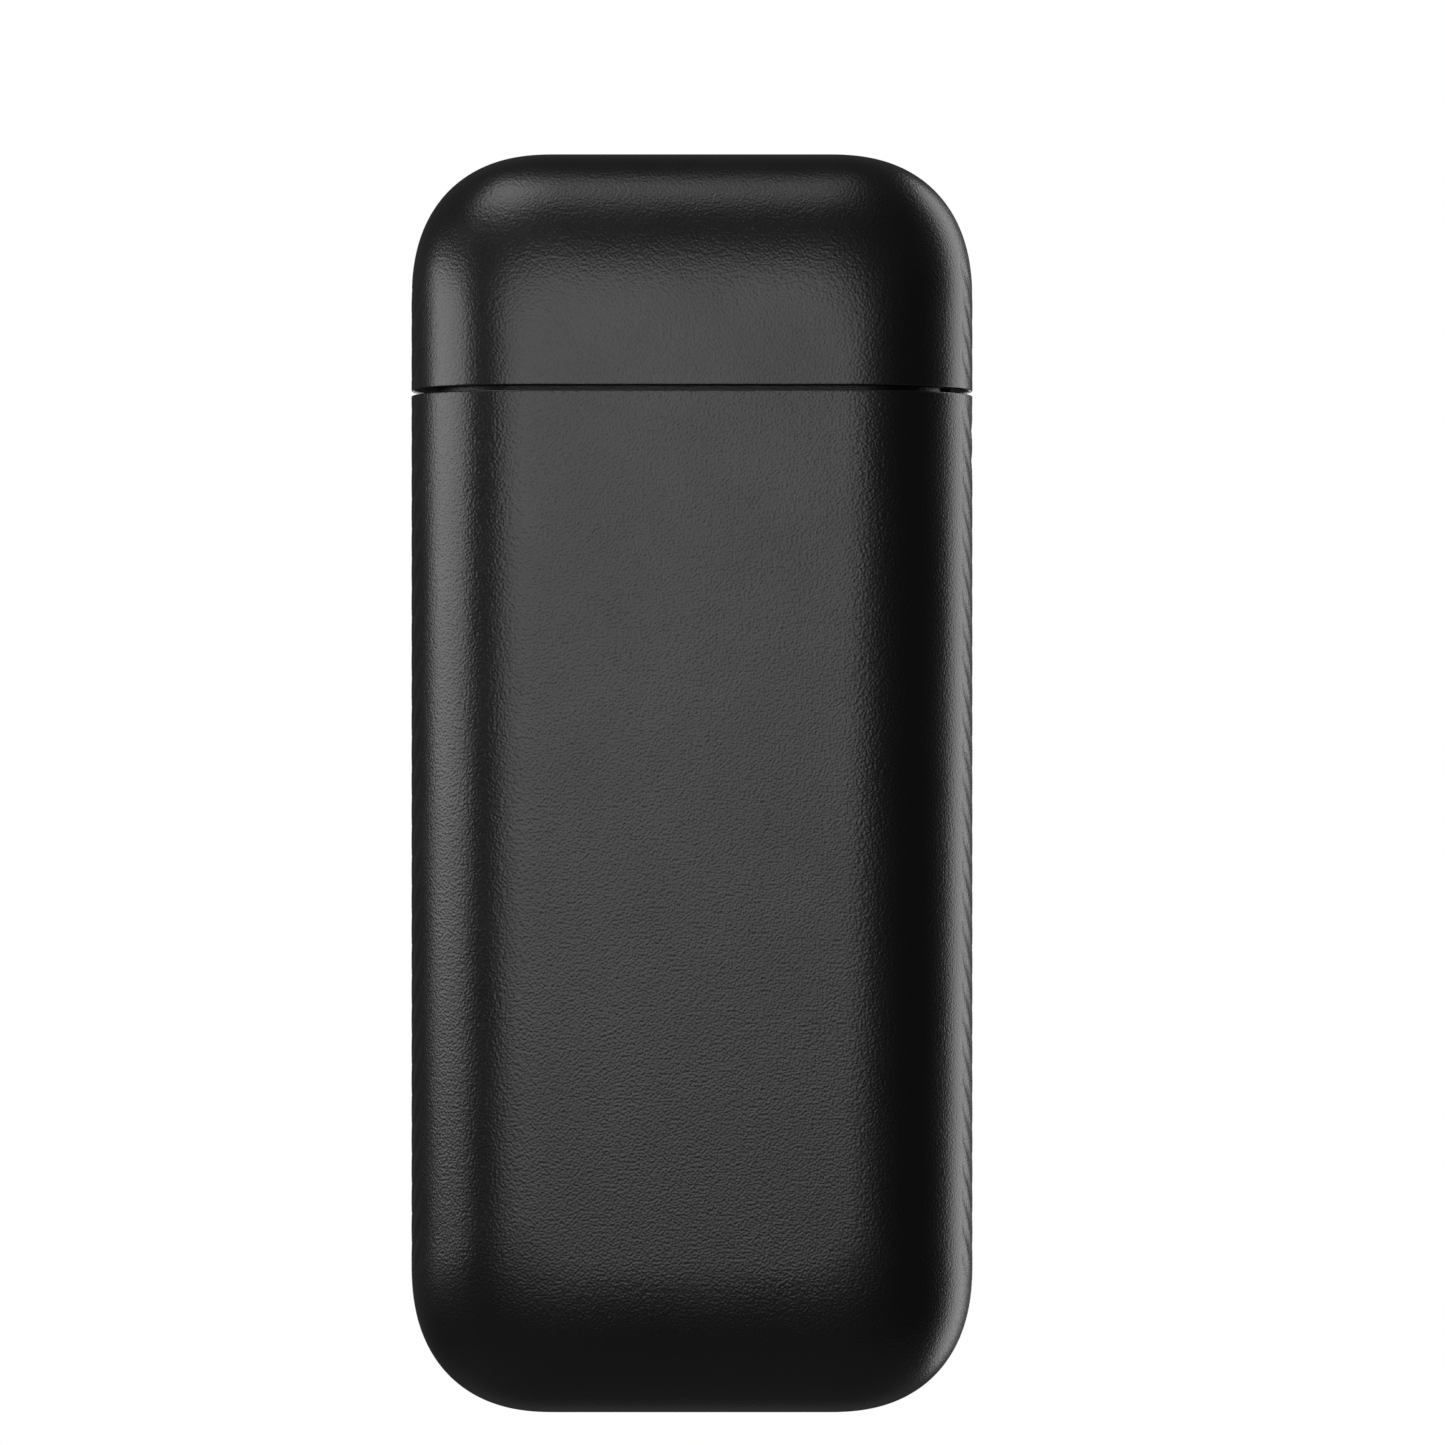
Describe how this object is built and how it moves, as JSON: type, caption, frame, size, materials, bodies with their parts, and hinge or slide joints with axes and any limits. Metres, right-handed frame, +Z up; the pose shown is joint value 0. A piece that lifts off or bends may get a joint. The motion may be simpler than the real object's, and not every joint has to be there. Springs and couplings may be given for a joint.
{
  "type": "lighter",
  "caption": "Slim upright flip-top pocket lighter in matte black plastic, with a side-hinged lid over its arc head, ribbed narrow sides and a power button on the rear face.",
  "frame": {"origin": "middle of the base, on the surface that the lighter stands on", "axes": "+Z up, +X towards the lid's hinge on the right-hand narrow side, -Y out of the plain wide front face"},
  "size_m": [0.0386, 0.019, 0.086],
  "materials": {
    "case_black": "fine leather-like moulded grain, soft-touch",
    "lid_black": "fine soft-touch grain, smoother than the body's",
    "neck_black": "fine moulded grain",
    "liner_black": "satin moulded",
    "deck_dark": "satin dark coating",
    "ceramic_white": "unglazed, fine-grained",
    "electrode_steel": "turned, slightly heat-tinted at the tip",
    "hinge_steel": "stamped and tumbled",
    "screw_steel": "black-zinc machine screws",
    "magnet_nickel": "nickel plated",
    "pad_rubber": "matt",
    "membrane_rubber": "matt silicone",
    "button_black": "satin, slightly dished",
    "bezel_metal": "dark anodised, fine turned lines",
    "lens_clear": "translucent white",
    "board_green": "solder mask",
    "chip_black": "moulded package",
    "led_white": "moulded package",
    "can_metal": "drawn can",
    "socket_steel": "drawn stainless",
    "tongue_black": "glass-filled plastic with contact strips",
    "cell_foil": "laminated foil",
    "foam_grey": "closed-cell foam",
    "wire_red": "silicone insulation",
    "wire_white": "silicone insulation",
    "ferrite_grey": "sintered",
    "copper_enamel": "wound enamelled copper wire"
  },
  "bodies": {
    "root": {"body_shell": "case_black", "inner_frame": "neck_black", "top_deck": "deck_dark", "deck_screws": "screw_steel", "arc_insulator": "ceramic_white", "electrode_front_left": "electrode_steel", "electrode_front_right": "electrode_steel", "electrode_rear_left": "electrode_steel", "electrode_rear_right": "electrode_steel", "frame_magnet": "magnet_nickel", "lid_bumpers": "pad_rubber", "hinge_bracket": "hinge_steel", "bracket_screws": "screw_steel", "hinge_pin": "hinge_steel", "hinge_spring": "hinge_steel", "main_board": "board_green", "board_screws": "screw_steel", "control_chips": "chip_black", "charge_capacitor": "can_metal", "tact_switch": "chip_black", "button_membrane": "membrane_rubber", "button_bezel": "bezel_metal", "indicator_leds": "led_white", "indicator_lenses": "lens_clear", "lid_sensor": "chip_black", "usb_socket": "socket_steel", "usb_tongue": "tongue_black", "battery_cell": "cell_foil", "battery_pad": "foam_grey", "battery_leads": "wire_red", "transformer_core_left": "ferrite_grey", "transformer_core_right": "ferrite_grey", "transformer_winding_left": "copper_enamel", "transformer_winding_right": "copper_enamel", "arc_leads": "wire_white"},
    "lid": {"lid_shell": "lid_black", "lid_liner": "liner_black", "lid_magnet": "magnet_nickel", "hinge_leaf": "hinge_steel", "leaf_screws": "screw_steel"},
    "button": {"power_button": "button_black"}
  },
  "joints": [
    {"name": "lid_hinge", "type": "hinge", "parent": "root", "child": "lid", "pos_m": [0.0177, 0, 0.0658], "axis": [0, 1, 0], "range_deg": [0, 105]},
    {"name": "button_press", "type": "slide", "parent": "root", "child": "button", "axis": [0, -1, 0], "range_m": [0, 0.0005], "stiffness_N_per_m": 300}
  ]
}
